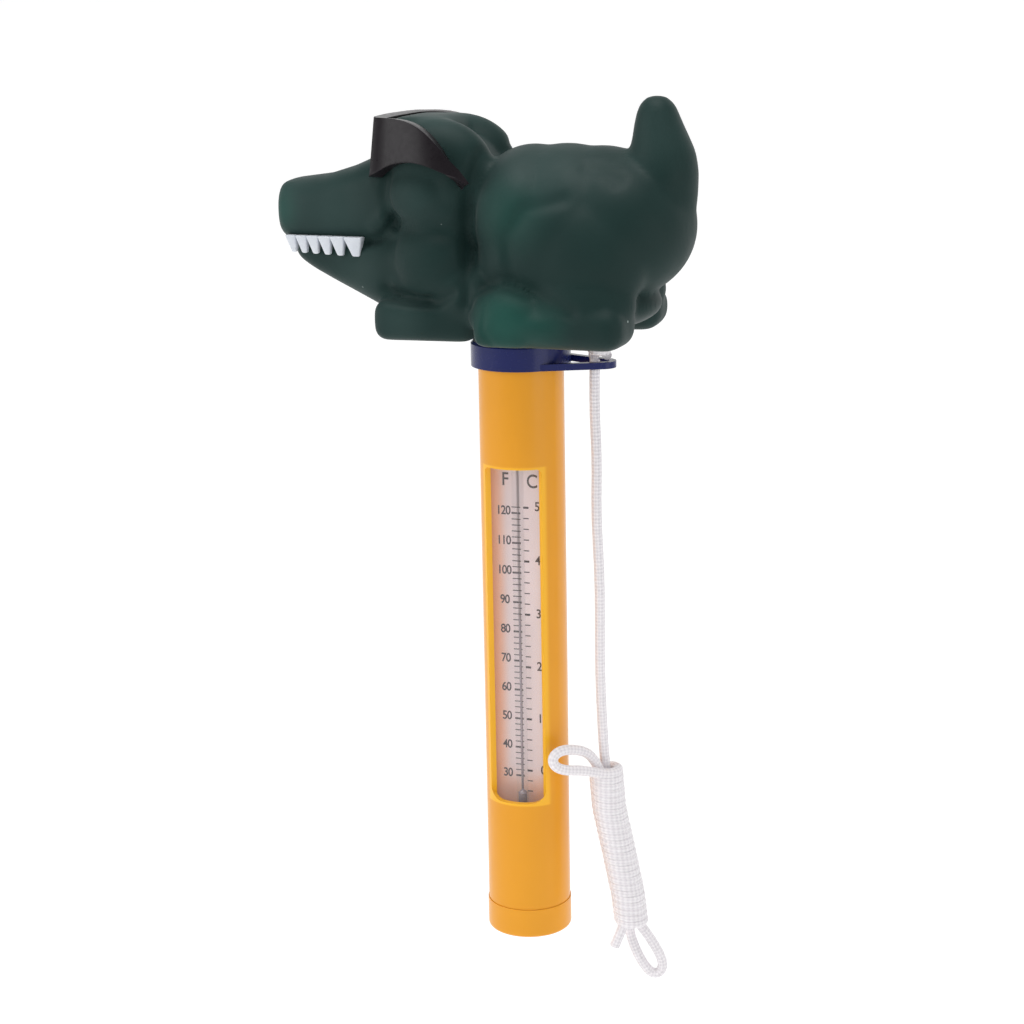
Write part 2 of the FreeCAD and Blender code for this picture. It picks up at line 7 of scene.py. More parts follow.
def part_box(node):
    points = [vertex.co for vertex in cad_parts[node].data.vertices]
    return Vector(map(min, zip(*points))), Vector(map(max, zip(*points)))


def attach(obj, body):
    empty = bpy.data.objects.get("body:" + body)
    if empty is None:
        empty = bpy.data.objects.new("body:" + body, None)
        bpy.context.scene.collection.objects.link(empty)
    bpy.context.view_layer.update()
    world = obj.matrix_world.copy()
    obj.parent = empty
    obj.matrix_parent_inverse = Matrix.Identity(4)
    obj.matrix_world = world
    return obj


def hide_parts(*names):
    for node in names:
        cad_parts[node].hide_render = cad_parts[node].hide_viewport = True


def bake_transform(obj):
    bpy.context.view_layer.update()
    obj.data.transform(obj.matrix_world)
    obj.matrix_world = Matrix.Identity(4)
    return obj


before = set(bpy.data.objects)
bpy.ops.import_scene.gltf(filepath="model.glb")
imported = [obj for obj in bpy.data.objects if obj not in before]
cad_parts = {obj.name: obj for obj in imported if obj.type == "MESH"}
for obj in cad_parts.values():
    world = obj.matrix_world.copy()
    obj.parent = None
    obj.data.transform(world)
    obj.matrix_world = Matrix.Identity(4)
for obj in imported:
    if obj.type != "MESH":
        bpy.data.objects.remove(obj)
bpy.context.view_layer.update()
MM = 0.001
SCENE = bpy.context.scene

# Places that every piece works from, in millimetres, taken from the frame.
RING_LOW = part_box("collar_ring")[0][2] / MM
CARD_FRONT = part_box("scale_card")[0][1] / MM
SPIRIT_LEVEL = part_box("spirit_meniscus")[1][2] / MM

# Driving sizes, in millimetres unless the name says otherwise.
CORD = 2.7                      # the cord's diameter
GLASSES_WALL = 3.4
GLASSES_FLARE = 5.5             # how far each wing spreads beyond the front
SOCKET_RADIUS = 7.15
READING = 84.9                  # degrees Fahrenheit at the spirit's level
DEGREE = 0.801                  # height of one degree Fahrenheit on the card
AROUND, ALONG = "Y", "X"        # a tube's UV axes: round it, and along it


# ---------------------------------------------------------------- camera, floor and light
def camera():
    """Level with the float's feet, from the window's side and a little towards the tail."""
    azimuth, elevation, distance = math.radians(18.0), math.radians(9.915), 565.9 * MM
    pitch, yaw, roll = math.radians(13.76), math.radians(-0.307), math.radians(-1.031)
    data = bpy.data.cameras.new("view")
    data.sensor_width = 36
    data.lens = 77.5
    data.clip_start = 0.01
    eye = Vector((math.sin(azimuth) * math.cos(elevation), -math.cos(azimuth) * math.cos(elevation),
                  math.sin(elevation))) * distance + Vector((0, 0, RING_LOW * MM))
    turn = (Matrix.Rotation(azimuth, 3, "Z") @ Matrix.Rotation(-yaw, 3, "Z")
            @ Matrix.Rotation(math.pi / 2 - pitch, 3, "X") @ Matrix.Rotation(roll, 3, "Z"))
    item = bpy.data.objects.new("view", data)
    item.matrix_world = Matrix.Translation(eye) @ turn.to_4x4()
    SCENE.collection.objects.link(item)
    SCENE.camera = item


def area_light(name, place, size, power, aim=(0, 0, -0.03), tint=(1, 1, 1)):
    data = bpy.data.lights.new(name, "AREA")
    data.size = size
    data.energy = power
    data.color = tint
    item = bpy.data.objects.new(name, data)
    item.location = place
    item.rotation_euler = (Vector(aim) - Vector(place)).to_track_quat("-Z", "Y").to_euler()
    SCENE.collection.objects.link(item)


def studio():
    SCENE.view_settings.view_transform = "Standard"
    world = bpy.data.worlds.new("studio")
    world.use_nodes = True
    world.node_tree.nodes["Background"].inputs["Color"].default_value = (1.0, 1.0, 1.0, 1)
    world.node_tree.nodes["Background"].inputs["Strength"].default_value = 0.3
    SCENE.world = world
    area_light("top_box", (0.0, -0.1, 0.75), 0.6, 5.2)
    area_light("left_box", (-0.75, -0.55, 0.2), 0.5, 3.0)
    area_light("right_box", (0.85, -0.4, 0.1), 0.6, 1.6)


def floor():
    """A pale sweep: a floor that curves up into a backdrop."""
    form = bmesh.new()
    bmesh.ops.create_grid(form, x_segments=2, y_segments=60, size=1)
    width, low, near, far, bend = 6.0, -0.3, -2.5, 2.2, 0.9
    for vert in form.verts:
        along = (vert.co.y + 1) / 2
        flat = (far - near) / (far - near + bend * math.pi / 2 + 2.5)
        reach = along / flat
        span = (far - near) * min(reach, 1)
        rise = max(0.0, along - flat) * (far - near) / flat
        arc = min(rise, bend * math.pi / 2)
        angle = arc / bend
        vert.co = Vector((vert.co.x * width, near + span + bend * math.sin(angle),
                          low + bend * (1 - math.cos(angle)) + max(0.0, rise - arc)))
    item = finish_mesh(form, "sweep")
    item.data.materials.append(plain_stage())


def plain_stage():
    material = bpy.data.materials.new("pale_sweep")
    material.use_nodes = True
    shader = material.node_tree.nodes["Principled BSDF"]
    shader.inputs["Base Color"].default_value = (0.4, 0.4, 0.4, 1)
    shader.inputs["Roughness"].default_value = 0.9
    shader.inputs["Emission Color"].default_value = (1, 1, 1, 1)
    shader.inputs["Emission Strength"].default_value = 0.8
    return material


# ---------------------------------------------------------------- mesh helpers
def finish_mesh(form, name, smooth=True):
    """Turn a bmesh into an object at the origin, and free the bmesh."""
    mesh = bpy.data.meshes.new(name)
    form.to_mesh(mesh)
    form.free()
    for face in mesh.polygons:
        face.use_smooth = smooth
    item = bpy.data.objects.new(name, mesh)
    SCENE.collection.objects.link(item)
    return item


def apply_modifiers(item):
    bpy.context.view_layer.update()
    graph = bpy.context.evaluated_depsgraph_get()
    mesh = bpy.data.meshes.new_from_object(item.evaluated_get(graph))
    item.modifiers.clear()
    item.data = mesh
    return item


def ball(form, place, halves, pitch=0.0, yaw=0.0):
    """An egg: half sizes along X, Y, Z, then pitched about Y and yawed about Z, in millimetres."""
    turn = Matrix.Rotation(math.radians(yaw), 4, "Z") @ Matrix.Rotation(math.radians(pitch), 4, "Y")
    sizes = Matrix.Diagonal((*(half * MM for half in halves), 1))
    bmesh.ops.create_icosphere(form, subdivisions=4, radius=1,
                               matrix=Matrix.Translation(Vector(place) * MM) @ turn @ sizes)


def block(form, place, halves, rounding, pitch=0.0, yaw=0.0, front=(1.0, 1.0)):
    """A rounded block; front scales its -X end across Y and Z."""
    made = bmesh.ops.create_cube(form, size=2)
    verts = made["verts"]
    for vert in verts:
        shrink = front if vert.co.x < 0 else (1, 1)
        vert.co = Vector((vert.co.x * halves[0], vert.co.y * halves[1] * shrink[0],
                          vert.co.z * halves[2] * shrink[1])) * MM
    turn = Matrix.Rotation(math.radians(yaw), 4, "Z") @ Matrix.Rotation(math.radians(pitch), 4, "Y")
    edges = list({edge for vert in verts for edge in vert.link_edges})
    rounded = bmesh.ops.bevel(form, geom=edges, offset=rounding * MM, affect="EDGES", segments=6,
                              profile=0.5, material=-1, offset_type="OFFSET")
    loose = set(rounded["verts"]) | {vert for vert in verts if vert.is_valid}
    bmesh.ops.transform(form, matrix=Matrix.Translation(Vector(place) * MM) @ turn, verts=list(loose))


def both_sides(maker, form, place, *rest, yaw=0.0, **more):
    """Make a form on the near side, then its twin on the far side."""
    maker(form, place, *rest, yaw=yaw, **more)
    maker(form, (place[0], -place[1], place[2]), *rest, yaw=-yaw, **more)


# ---------------------------------------------------------------- the crocodile's vinyl
def float_forms():
    """The body's masses, before they are melted together."""
    form = bmesh.new()
    ball(form, (13.0, 0, 17.6), (23.5, 23.0, 24.0))
    ball(form, (26.0, 0, 21.4), (19.8, 20.0, 18.4))
    ball(form, (22.0, 0, 25.5), (18.0, 16.5, 15.6))
    ball(form, (4.2, 0, 24.0), (15.2, 22.2, 17.4))
    ball(form, (4.5, 0, 14.0), (14.4, 21.6, 16.0))
    block(form, (1.0, 0, -2.6), (16.0, 13.0, 3.6), 2.0)
    ball(form, (15.0, 0, 2.0), (22.0, 20.0, 7.4))
    loft_up(form, [(28.0, 14.0, 10.0, 9.0), (29.6, 18.0, 14.2, 11.6), (31.6, 23.0, 13.8, 11.5),
                   (34.6, 29.0, 11.6, 10.6), (36.7, 35.0, 9.7, 9.3), (37.4, 39.6, 8.2, 8.2),
                   (37.0, 43.0, 7.1, 7.2), (36.5, 46.0, 6.2, 6.3), (36.2, 48.6, 5.4, 5.4),
                   (36.1, 50.8, 4.6, 4.5), (36.0, 52.3, 3.3, 3.3), (36.0, 53.2, 1.9, 1.9)])
    # head: skull, eye domes, the swelling under each eye and the jowls
    ball(form, (-18.0, 0, 21.0), (13.4, 18.0, 18.5))
    ball(form, (-14.0, 0, 26.0), (11.0, 18.0, 18.0))
    both_sides(ball, form, (-17.2, -9.6, 36.2), (14.4, 8.6, 12.0), pitch=12)
    both_sides(ball, form, (-23.6, -8.6, 38.4), (8.2, 6.9, 9.4))
    block(form, (-22.6, 0, 39.9), (8.4, 11.8, 8.6), 3.4)
    both_sides(ball, form, (-20.4, -11.4, 29.0), (10.6, 8.2, 9.2))
    both_sides(ball, form, (-12.2, -11.2, 31.8), (7.4, 7.4, 8.6))
    both_sides(ball, form, (-20.0, -10.6, 38.6), (9.4, 7.4, 8.8))
    both_sides(ball, form, (-18.0, -11.6, 13.6), (11.0, 8.4, 10.0), pitch=-10)
    ball(form, (-21.0, 0, 7.5), (12.5, 14.5, 9.5))
    # snout, lower jaw and the flesh behind the teeth
    loft_along(form, [(-63.4, 20.4, 28.6, 4.8), (-62.7, 18.2, 30.6, 7.6), (-61.0, 16.9, 32.2, 9.7),
                      (-57.0, 16.4, 32.7, 10.6), (-50.0, 16.3, 33.6, 11.2), (-42.0, 16.3, 36.0, 12.0),
                      (-34.0, 16.3, 39.4, 13.6), (-26.0, 16.3, 41.0, 15.4)], 3.2)
    both_sides(ball, form, (-58.8, -5.6, 30.6), (3.6, 2.8, 1.5))
    loft_along(form, [(-59.4, 13.0, 18.0, 5.0), (-57.8, 11.2, 19.5, 6.8), (-54.0, 8.9, 20.5, 8.0),
                      (-48.0, 6.0, 20.5, 9.4), (-41.0, 2.8, 20.5, 11.0), (-34.0, -0.3, 20.5, 13.4),
                      (-26.0, -2.4, 20.5, 15.0), (-16.0, -3.4, 20.5, 15.5)], 3.0)
    # legs and feet
    both_sides(ball, form, (19.6, -12.0, 15.0), (17.6, 11.6, 16.0), pitch=4)
    both_sides(ball, form, (-9.0, -12.5, 4.5), (9.5, 7.0, 9.0))
    both_sides(block, form, (-20.4, -12.4, -1.6), (13.2, 6.6, 5.4), 3.0, yaw=6, front=(0.92, 0.96))
    both_sides(ball, form, (3.0, -18.6, 0.6), (10.4, 7.6, 7.8), yaw=-6)
    both_sides(block, form, (15.6, -16.6, -1.6), (18.0, 8.4, 5.4), 4.6, yaw=-3)
    both_sides(ball, form, (20.0, -15.0, 3.6), (14.5, 9.4, 9.8))
    both_sides(block, form, (2.6, -17.2, -2.7), (7.2, 8.6, 3.9), 2.4)
    both_sides(ball, form, (10.0, -18.0, -1.4), (13.4, 8.0, 5.4))
    return form


def superellipse_ring(form, place, turn, halves, power, capped):
    """A closed ring of a rounded-box section; turn lays its plane across the run."""
    ring = bmesh.ops.create_circle(form, cap_ends=capped, segments=48, radius=1)["verts"]
    for vert in ring:
        angle = math.atan2(vert.co.y, vert.co.x)
        across, up = math.cos(angle), math.sin(angle)
        vert.co = Vector((halves[0] * math.copysign(abs(across) ** (2 / power), across),
                          halves[1] * math.copysign(abs(up) ** (2 / power), up), 0))
        vert.co = (turn @ vert.co + Vector(place)) * MM
    return ring


def bridge_rings(form, rings):
    for first, second in zip(rings, rings[1:]):
        edges = {edge for ring in (first, second) for vert in ring for edge in vert.link_edges
                 if edge.other_vert(vert) in set(ring)}
        bmesh.ops.bridge_loops(form, edges=list(edges))


def ends(stations):
    """Where the first and the last section stand."""
    return stations[0][0], stations[-1][0]


def loft_along(form, stations, power):
    """A run of sections along X: place, lowest, highest and half width, in millimetres."""
    turn = Matrix(((0, 0, 1), (1, 0, 0), (0, 1, 0)))
    bridge_rings(form, [superellipse_ring(form, (x, 0, (low + high) / 2), turn,
                                          (wide, (high - low) / 2), power, x in ends(stations))
                        for x, low, high, wide in stations])


def loft_up(form, stations):
    """A run of oval sections up Z: middle, height, half length and half width, in millimetres."""
    heights = [(z, x) for x, z, _, _ in stations]
    bridge_rings(form, [superellipse_ring(form, (x, 0, z), Matrix.Identity(3), (long, wide), 2.0,
                                          z in ends(heights))
                        for x, z, long, wide in stations])


def melted(form, name, voxel, passes):
    """Union the forms and soften the joins between them."""
    item = finish_mesh(form, name)
    remesh = item.modifiers.new("union", "REMESH")
    remesh.mode = "VOXEL"
    remesh.voxel_size = voxel * MM
    soften = item.modifiers.new("soften", "SMOOTH")
    soften.factor = 0.5
    soften.iterations = passes
    return apply_modifiers(item)


def press(item, line, flank, radius, depth):
    """Push a soft groove into both flanks, or a ridge with a negative depth.

    The line is seen side on, as places along X and heights. Nothing nearer the middle than flank moves."""
    mesh = item.data
    normals = [vert.normal.copy() for vert in mesh.vertices]
    places = [Vector((x, 0, z)) * MM for x, z in line]
    reach = 3 * radius * MM
    low = [min(place[axis] for place in places) - reach for axis in (0, 2)]
    high = [max(place[axis] for place in places) + reach for axis in (0, 2)]
    inner, ramp = flank * MM, 6 * MM
    for vert, normal in zip(mesh.vertices, normals):
        x, y, z = vert.co
        if abs(y) < inner or not (low[0] < x < high[0] and low[1] < z < high[1]):
            continue
        flat = Vector((x, 0, z))
        gap = min(distance_to_run(flat, start, stop) for start, stop in zip(places, places[1:]))
        share = min(1.0, (abs(y) - inner) / ramp)
        vert.co = vert.co - normal * share * depth * MM * math.exp(-(gap / (radius * MM)) ** 2)


def distance_to_run(place, start, stop):
    run = stop - start
    share = max(0.0, min(1.0, (place - start).dot(run) / run.length_squared))
    return (place - start - run * share).length


def crocodile():
    item = melted(float_forms(), "float_skin", 0.6, 34)
    # the mouth's line and its corner, and the hollows under and before the swelling of the eye
    press(item, [(-37.5, 17), (-33, 18.5), (-29, 21.5)], 4, 1.2, 1.3)
    press(item, [(-29, 21.5), (-28.5, 23.5)], 6.5, 1.6, 1.7)
    press(item, [(-27, 23), (-20, 21), (-11, 22)], 6.5, 2.2, 0.8)
    press(item, [(-29.5, 35), (-30, 30), (-29, 26)], 4.5, 1.7, 0.9)
    press(item, [(-34.5, 21.5), (-31.5, 23.5)], 4, 1.6, -0.6)
    # the fold behind the head, and the one over the front paw
    press(item, [(-4.5, 40.5), (-7.5, 30), (-8.5, 20), (-7.5, 4)], 7, 1.8, 1.25)
    press(item, [(-31, 6), (-24, 3.5), (-16.5, 3), (-11.5, 6)], 5.5, 1.5, 1.0)
    press(item, [(-28, 7.5), (-20, 5.5), (-12, 8.5)], 6, 1.5, -0.5)
    # the thigh's edge, the crease round the hind toe, the ridge along the foot, a fold by the tail
    press(item, [(4.5, 10), (3.5, 20), (8, 27), (17.5, 29.5)], 11, 1.8, 0.8)
    press(item, [(-2.5, 8.5), (1.5, 10), (11.5, 6.5), (20.5, 2.5)], 15, 1.9, 0.9)
    press(item, [(-1, 4.5), (-1.5, -2), (1, -5.5)], 16, 0.7, 0.35)
    press(item, [(21.5, 37), (26, 36), (30, 33.5)], 7.5, 1.6, 0.6)
    apply_smooth(item, 7)
    bore_socket(item)
    item.data.materials.append(vinyl())
    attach(item, "float")
    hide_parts("float_body")
    return item


def apply_smooth(item, passes):
    soften = item.modifiers.new("soften", "SMOOTH")
    soften.factor = 0.5
    soften.iterations = passes
    apply_modifiers(item)


def bore_socket(item):
    """The socket that the stem's spigot enters, open below."""
    tool = bmesh.new()
    top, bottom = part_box("top_plug")[1][2] / MM + 0.4, -12
    bmesh.ops.create_cone(tool, cap_ends=True, segments=64, radius1=SOCKET_RADIUS * MM,
                          radius2=SOCKET_RADIUS * MM, depth=(top - bottom) * MM,
                          matrix=Matrix.Translation((0, 0, (top + bottom) / 2 * MM)))
    # a wider relief below, just clear of the plug's flange
    relief_radius, relief_depth, relief_top = 11.6, 6.0, -6.1
    bmesh.ops.create_cone(tool, cap_ends=True, segments=64, radius1=relief_radius * MM,
                          radius2=relief_radius * MM, depth=relief_depth * MM,
                          matrix=Matrix.Translation((0, 0, (relief_top - relief_depth / 2) * MM)))
    cutter = finish_mesh(tool, "socket_cutter")
    cut = item.modifiers.new("socket", "BOOLEAN")
    cut.operation = "DIFFERENCE"
    cut.object = cutter
    cut.solver = "EXACT"
    cut.use_self = True
    apply_modifiers(item)
    bpy.data.objects.remove(cutter)


# ---------------------------------------------------------------- sunglasses and teeth
def sunglasses():
    """One visor: a front across the snout's root and a wing back to each temple."""
    form = bmesh.new()
    across, up = 40, 16
    bmesh.ops.create_grid(form, x_segments=across, y_segments=up, size=1)
    for vert in form.verts:
        vert.co = visor_point(vert.co.x, (vert.co.y + 1) / 2) * MM
    item = finish_mesh(form, "sunglasses_visor")
    wall = item.modifiers.new("wall", "SOLIDIFY")
    wall.thickness = GLASSES_WALL * MM
    wall.offset = -1
    edge = item.modifiers.new("edge", "BEVEL")
    edge.width = 0.8 * MM
    edge.segments = 3
    edge.limit_method = "ANGLE"
    edge.angle_limit = math.radians(50)
    apply_modifiers(item)
    smooth_all(item)
    item.data.materials.append(gloss_black())
    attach(item, "float")
    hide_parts("sunglasses")


def visor_point(side, share):
    """side runs from one temple (-1) over the front (0) to the other (1); share runs up."""
    front_share, reach = 0.34, abs(side)
    back = max(0.0, (reach - front_share) / (1 - front_share))
    turn = min(1.0, reach / front_share)
    x = -31.6 + 0.7 * turn ** 2 + 22.5 * back
    y = 12.9 * turn + GLASSES_FLARE * math.sin(back * math.pi / 2) ** 0.9
    low = 33.1 + 5.0 * math.sin(math.pi * min(1.0, back)) ** 0.7 - 1.8 * back ** 2 + 4.0 * (1 - turn)
    high = 48.3 - 16.8 * back ** 3.3
    z = low + (max(high, low + 0.6) - low) * share
    return Vector((x + 1.4 * (share - 0.5) * (1 - back), math.copysign(y - 0.8 * (share - 0.5), side), z))


def smooth_all(item):
    for face in item.data.polygons:
        face.use_smooth = True


def teeth():
    """Six blunt, pointed teeth down each side, each a little larger towards the back."""
    form = bmesh.new()
    places = [-58.3, -55.2, -51.9, -48.4, -44.7, -40.2]
    widths = [1.5, 1.6, 1.7, 1.8, 1.95, 2.5]
    for side in (-1, 1):
        for number, (place, half) in enumerate(zip(places, widths)):
            made = bmesh.ops.create_cube(form, size=2)["verts"]
            length = 4.5 + 0.1 * number
            out = 9.0 + 0.5 * number
            for vert in made:
                tip = vert.co.z < 0
                along = vert.co.x * half * (0.4 if tip else 1.0) + place + (0.5 if tip else 0)
                depth = side * (out + vert.co.y * side * (0.8 if tip else 1.5) - (0.4 if tip else 0))
                vert.co = Vector((along, depth, 18.5 - (length if tip else 0))) * MM
            edges = list({edge for vert in made for edge in vert.link_edges})
            bmesh.ops.bevel(form, geom=edges, offset=0.38 * MM, affect="EDGES", segments=3, profile=0.5,
                            material=-1)
    item = finish_mesh(form, "teeth_rows")
    item.data.materials.append(enamel())
    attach(item, "float")
    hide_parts("upper_teeth")


# ---------------------------------------------------------------- spirit
def spirit_thread():
    """The thread of spirit: its foot stays at the bulb and its top follows the level."""
    low, high = (Vector(corner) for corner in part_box("spirit_column"))
    middle = (low + high) / 2
    form = bmesh.new()
    bmesh.ops.create_cone(form, cap_ends=True, segments=20, radius1=(high.x - low.x) / 2,
                          radius2=(high.x - low.x) / 2, depth=high.z - low.z,
                          matrix=Matrix.Translation(middle))
    item = finish_mesh(form, "spirit_thread")
    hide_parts("spirit_column")
    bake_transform(item)
    return item


# ---------------------------------------------------------------- scale print
def scale_print():
    """Ticks and figures on the card: Fahrenheit on the left, Celsius on the right."""
    form = bmesh.new()
    front = CARD_FRONT - 0.03
    for degrees in range(30, 124, 2):
        heavy = degrees % 10 == 0
        tick(form, (-2.3, 0.1), height_of(degrees), 0.5 if heavy else 0.24, front)
    for degrees in range(-4, 52, 2):
        heavy = degrees % 10 == 0
        tick(form, (0.9, 2.35), height_of(degrees * 1.8 + 32), 0.55 if heavy else 0.26, front)
    marks = finish_mesh(form, "scale_ticks", smooth=False)
    words = [("F", -3.9, height_of(131.0), 4.9), ("C", 3.4, height_of(130.6), 5.1)]
    words += [(str(value), -4.5, height_of(value + 0.7), 3.3) for value in range(30, 130, 10)]
    words += [(str(value), 5.35, height_of(value * 1.8 + 32.4), 3.4) for value in range(0, 60, 10)]
    parts = [marks] + [figure(text, x, z, tall, front) for text, x, z, tall in words]
    whole = bmesh.new()
    for part in parts:
        whole.from_mesh(part.data)
        bpy.data.objects.remove(part)
    item = finish_mesh(whole, "scale_figures", smooth=False)
    item.data.materials.append(ink())
    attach(item, "stem")


def height_of(fahrenheit):
    """The card's scale: about 8 mm for every ten degrees Fahrenheit."""
    return SPIRIT_LEVEL + (fahrenheit - READING) * DEGREE


def tick(form, span, height, thick, front):
    middle = Vector(((span[0] + span[1]) / 2, front, height)) * MM
    sizes = Matrix.Diagonal(((span[1] - span[0]) * MM, 0.04 * MM, thick * MM, 1))
    bmesh.ops.create_cube(form, size=1, matrix=Matrix.Translation(middle) @ sizes)


def figure(text, x, z, tall, front):
    data = bpy.data.curves.new("figure", "FONT")
    data.body = text
    data.size = tall * MM
    data.extrude = 0.02 * MM
    data.offset = 0.05 * MM
    data.align_x = "CENTER"
    data.align_y = "CENTER"
    data.space_character = 0.9
    item = bpy.data.objects.new("figure", data)
    SCENE.collection.objects.link(item)
    bpy.context.view_layer.update()
    mesh = bpy.data.meshes.new_from_object(item)
    narrow = Matrix.Diagonal((0.86, 1, 1, 1))
    mesh.transform(Matrix.Translation(Vector((x, front, z)) * MM)
                   @ Matrix.Rotation(math.pi / 2, 4, "X") @ narrow)
    flat = bpy.data.objects.new("figure_mesh", mesh)
    SCENE.collection.objects.link(flat)
    bpy.data.objects.remove(item)
    return flat


# ---------------------------------------------------------------- cord
DROP = [(19.7, 0, -12.7), (19.35, 0, -23.5), (20.05, 0, -38.5), (19.65, 0, -52.5), (20.6, 0, -72.0),
        (20.3, 0, -92.0), (20.8, 0, -109.0), (21.5, 0, -120.5)]
TOP_BIGHT = [(20.3, -2.6, -120.6), (18.3, -4.4, -116.6), (15.0, -7.4, -114.9), (12.1, -9.9, -114.7),
             (10.4, -11.3, -116.4), (11.0, -11.3, -118.8), (13.6, -9.9, -120.1), (16.9, -7.9, -120.4),
             (20.2, -5.2, -121.6)]
BOTTOM_BIGHT = [(27.6, 0, -167.0), (29.6, 0.3, -173.3), (31.7, 0.8, -177.5), (33.7, 1.4, -180.1),
                (35.9, 2.1, -180.0), (36.8, 2.4, -177.3), (35.3, 2.0, -173.3), (31.9, 1.0, -167.4)]
FREE_END = [(27.3, -3.6, -164.6), (26.3, -4.7, -167.6), (25.2, -4.8, -170.4)]
HANK = [(21.6, 0, -120.5), (22.6, 0, -133.0), (25.3, 0, -145.5), (27.6, 0, -156.8), (29.1, 0, -169.0)]


def hank_axis(z):
    for (x0, _, z0), (x1, _, z1) in zip(HANK, HANK[1:]):
        if z1 <= z <= z0:
            return x0 + (x1 - x0) * (z - z0) / (z1 - z0)
    return HANK[0][0] if z > HANK[0][2] else HANK[-1][0]


def cord_route():
    """Drop, down through the hank, the lower bight, back up, the upper bight, the wraps, the end."""
    core = [-127.0, -136.0, -145.5, -154.0, -162.0]
    route = list(DROP)
    route += [(hank_axis(z) - 0.3, 1.3, z) for z in core]
    route += BOTTOM_BIGHT
    route += [(hank_axis(z) + 0.2, -1.3, z) for z in reversed(core)]
    route += TOP_BIGHT
    turns, start, per_turn = 24.6, math.radians(-78), 12
    top, bottom = -122.2, -165.0
    count = int(turns * per_turn)
    for step in range(count + 1):
        share = step / count
        angle = start + 2 * math.pi * turns * share
        z = top + (bottom - top) * share
        route.append((hank_axis(z) + 3.3 * math.cos(angle), 4.2 * math.sin(angle), z))
    route += FREE_END
    return [Vector(place) * MM for place in route]


def cord_curve(name, places, thick, fine):
    data = bpy.data.curves.new(name, "CURVE")
    data.dimensions = "3D"
    line = data.splines.new("NURBS")
    line.points.add(len(places) - 1)
    for point, place in zip(line.points, places):
        point.co = (*place, 1)
    line.order_u = 3
    line.use_endpoint_u = True
    data.resolution_u = fine
    data.bevel_depth = thick / 2 * MM
    data.bevel_resolution = 4
    data.use_fill_caps = True
    item = bpy.data.objects.new(name, data)
    SCENE.collection.objects.link(item)
    return item


def tube_mesh(name, places, thick, fine=4):
    """A tube along the route's spline, and the points of that spline."""
    bare = cord_curve(name + "_line", places, 0, fine)
    bpy.context.view_layer.update()
    graph = bpy.context.evaluated_depsgraph_get()
    path = [vert.co.copy() for vert in bpy.data.meshes.new_from_object(bare.evaluated_get(graph)).vertices]
    bpy.data.objects.remove(bare)
    round_cord = cord_curve(name + "_round", places, thick, fine)
    bpy.context.view_layer.update()
    graph = bpy.context.evaluated_depsgraph_get()
    mesh = bpy.data.meshes.new_from_object(round_cord.evaluated_get(graph))
    bpy.data.objects.remove(round_cord)
    even_out(mesh, path)
    item = bpy.data.objects.new(name, mesh)
    SCENE.collection.objects.link(item)
    smooth_all(item)
    return item, path


def even_out(mesh, path):
    """Make the UV map run with the cord's true length instead of with its route points."""
    reached = [0.0]
    for before, after in zip(path, path[1:]):
        reached.append(reached[-1] + (after - before).length)
    last = len(path) - 1
    for corner in mesh.uv_layers[0].data:
        step = corner.uv[0] * last
        whole = min(int(step), last - 1)
        length = reached[whole] + (reached[whole + 1] - reached[whole]) * (step - whole)
        corner.uv[0] = length / reached[-1]


def path_length(path):
    return sum((after - before).length for before, after in zip(path, path[1:]))


def cord():
    item, path = tube_mesh("tether_cord", cord_route(), CORD)
    item.data.materials.append(braid(path_length(path)))
    knot = cord_knot()
    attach(item, "collar")
    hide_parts("cord_drop", "cord_top_bight", "cord_bottom_bight", "cord_free_end", "cord_hank")


def cord_knot():
    """An overhand knot pulled down on the ear: two crossing turns with a short tail."""
    low = RING_LOW + 1.8
    x = DROP[0][0] + 1.1
    turns = [(19.7, 0.0, -13.2), (19.5, -0.6, low + 0.9), (x - 1.9, 0.6, low + 1.4),
             (x - 1.0, 2.0, low + 1.6), (x + 1.2, 1.8, low + 2.0), (x + 2.1, 0.0, low + 2.3),
             (x + 1.2, -1.9, low + 2.4),
             (x - 0.9, -1.9, low + 2.5), (x - 2.0, -0.2, low + 2.6), (x - 0.6, 1.2, low + 2.7),
             (x + 1.4, 0.8, low + 1.6), (x + 2.4, -0.5, low + 1.2)]
    item, path = tube_mesh("cord_knot_turns", [Vector(place) * MM for place in turns], 2.3, 6)
    item.data.materials.append(braid(path_length(path)))
    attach(item, "collar")
    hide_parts("cord_knot")
    return item


# ---------------------------------------------------------------- materials
def material(name, roughness, colour=None, metallic=0.0, **sockets):
    item = bpy.data.materials.new(name)
    item.use_nodes = True
    shader = item.node_tree.nodes["Principled BSDF"]
    shader.inputs["Roughness"].default_value = roughness
    shader.inputs["Metallic"].default_value = metallic
    if colour:
        shader.inputs["Base Color"].default_value = (*colour, 1)
    for key, value in sockets.items():
        shader.inputs[key.replace("_", " ")].default_value = value
    return item, item.node_tree, shader


def node(tree, kind, inputs=None, **settings):
    made = tree.nodes.new(kind)
    for key, value in settings.items():
        setattr(made, key, value)
    for key, value in (inputs or {}).items():
        made.inputs[key].default_value = value
    return made


def mix_colour(tree, fac, first, second, mode="MIX"):
    """Mix two colours; each may be a plain colour or an output to link."""
    mixer = node(tree, "ShaderNodeMix", data_type="RGBA", blend_type=mode)
    for socket, value in ((mixer.inputs[0], fac), (mixer.inputs[6], first), (mixer.inputs[7], second)):
        if isinstance(value, bpy.types.NodeSocket):
            tree.links.new(value, socket)
        elif isinstance(value, (int, float)):
            socket.default_value = value
        else:
            socket.default_value = (*value, 1)
    return mixer.outputs[2]


